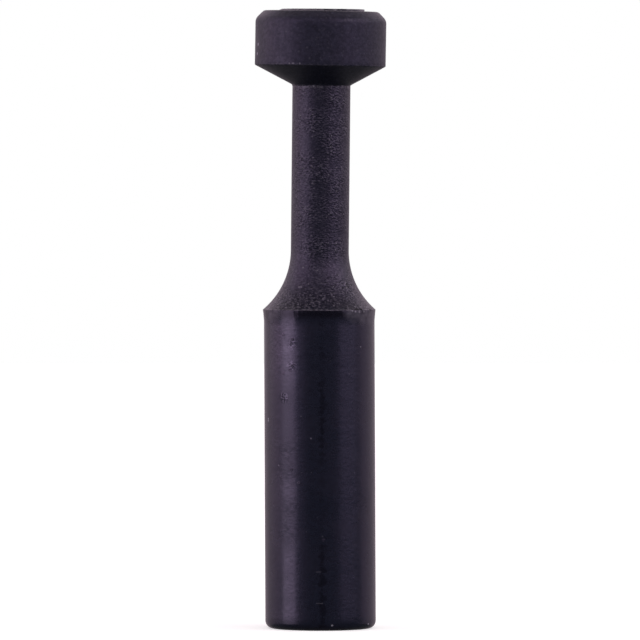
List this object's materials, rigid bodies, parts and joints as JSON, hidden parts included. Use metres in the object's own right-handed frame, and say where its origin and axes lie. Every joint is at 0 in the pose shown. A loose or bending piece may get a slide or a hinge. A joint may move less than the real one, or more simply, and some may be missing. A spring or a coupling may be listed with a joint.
{
  "type": "push-fit blanking plug",
  "caption": "Slim round plug that closes a push-fit tube socket: smooth straight stem, low shoulder, flared neck and a bevelled head with a low pad, to pull it out by.",
  "frame": {"origin": "centre of the stem's flat end, which it stands on", "axes": "+Z along the plug's axis, from the stem's end towards the head"},
  "size_m": [0.0071, 0.007, 0.0336],
  "materials": {
    "black_plastic": "black moulded plastic: finely grained on the head, neck and flare, smooth and slightly glossy on the stem"
  },
  "bodies": {
    "root": {"plug": "black_plastic"}
  },
  "joints": []
}
